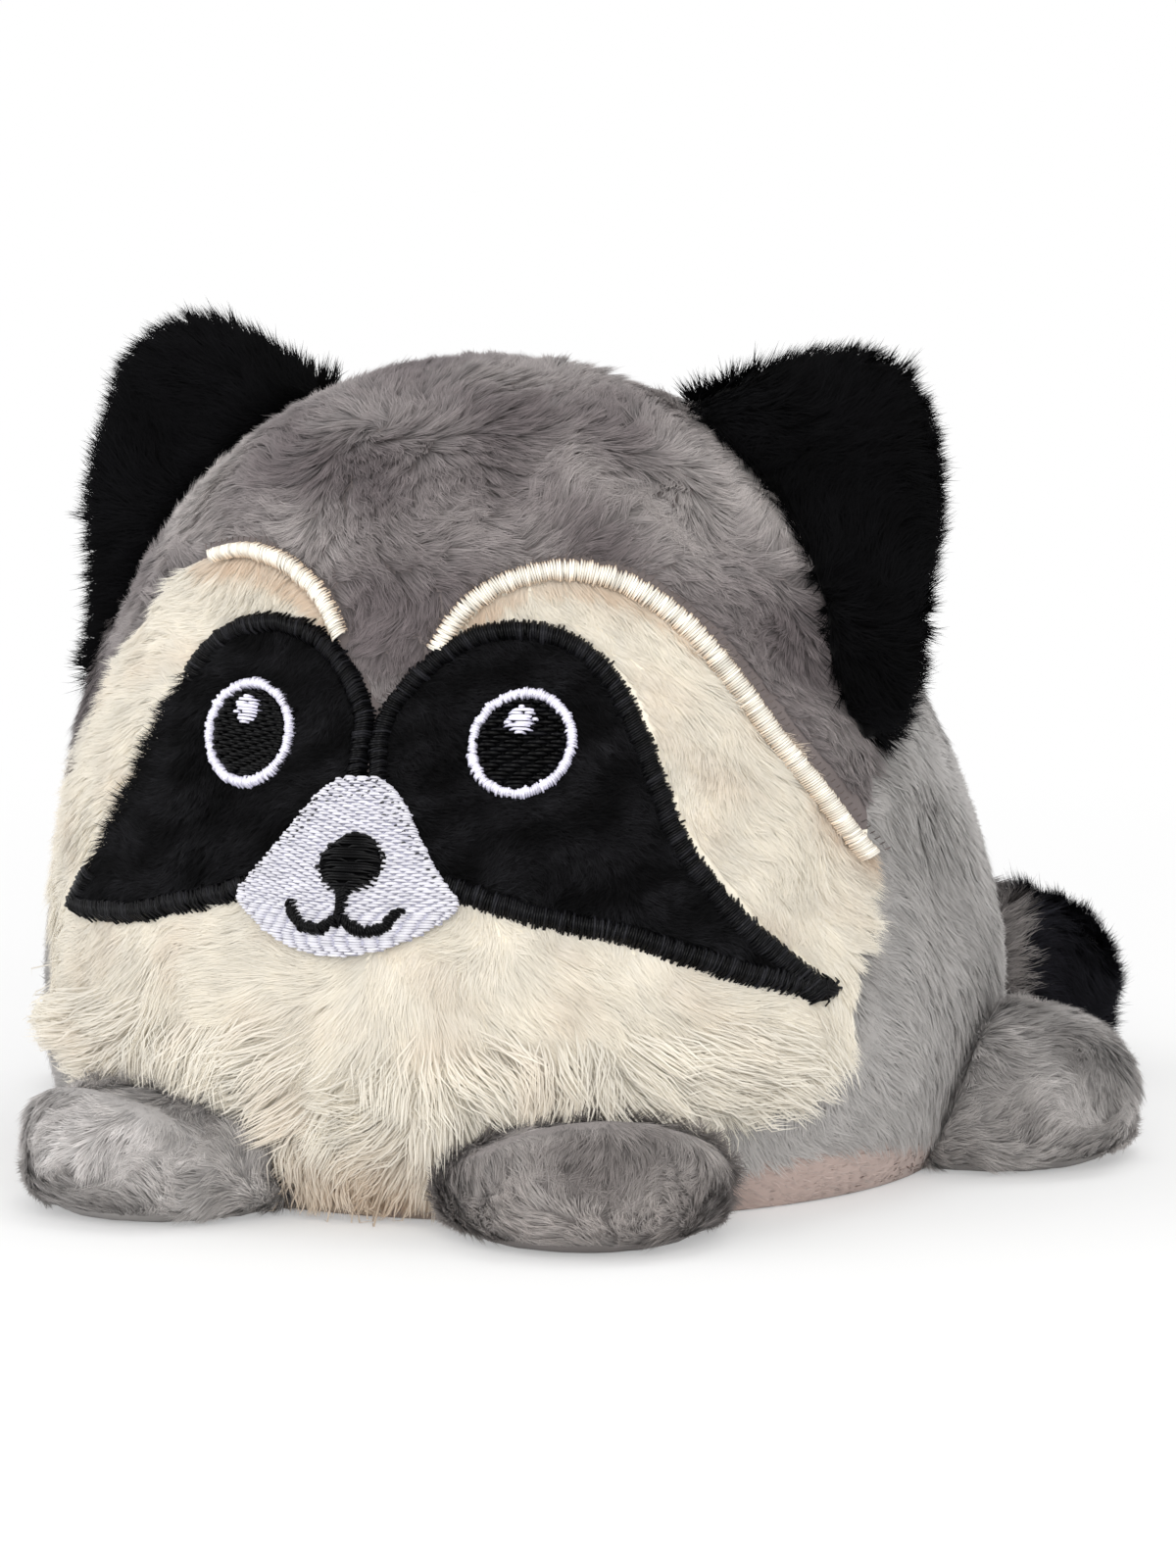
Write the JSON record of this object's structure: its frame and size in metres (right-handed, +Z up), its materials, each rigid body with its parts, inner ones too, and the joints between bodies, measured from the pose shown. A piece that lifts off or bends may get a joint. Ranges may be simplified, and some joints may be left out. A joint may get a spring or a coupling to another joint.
{
  "type": "plush raccoon",
  "caption": "Small round stuffed raccoon toy with a black eye mask, stitched face, soft ears, stubby feet and a short tail; rests on a flat base",
  "frame": {"origin": "middle of the flat base that the stuffed ball rests on", "axes": "+Z up out of the crown; -Y is where the face looks; +X is the raccoon's own left, where the tail swings"},
  "size_m": [0.149, 0.1511, 0.1027],
  "materials": {
    "grey_plush": "short brushed pile",
    "dark_grey_plush": "short brushed pile",
    "cream_plush": "short clumped pile",
    "beige_plush": "flat short pile",
    "black_plush": "velvet pile",
    "black_thread": "satin embroidery",
    "cream_thread": "satin embroidery",
    "white_thread": "satin embroidery"
  },
  "bodies": {
    "root": {"base_panel": "beige_plush", "body": "grey_plush", "forehead_panel": "dark_grey_plush", "face_panel": "cream_plush", "brow_edge_left": "cream_thread", "brow_edge_right": "cream_thread", "eye_patch_left": "black_plush", "eye_patch_right": "black_plush", "patch_edge_left": "black_thread", "patch_edge_right": "black_thread", "eye_ring_left": "white_thread", "eye_ring_right": "white_thread", "pupil_left": "black_thread", "pupil_right": "black_thread", "highlight_left": "white_thread", "highlight_right": "white_thread", "muzzle": "white_thread", "nose": "black_thread", "mouth": "black_thread", "ear_left": "black_plush", "ear_right": "black_plush", "front_paw_left": "grey_plush", "front_paw_right": "grey_plush", "hind_foot_left": "grey_plush", "hind_foot_right": "grey_plush", "tail_base": "dark_grey_plush", "tail_end": "black_plush"}
  },
  "joints": []
}
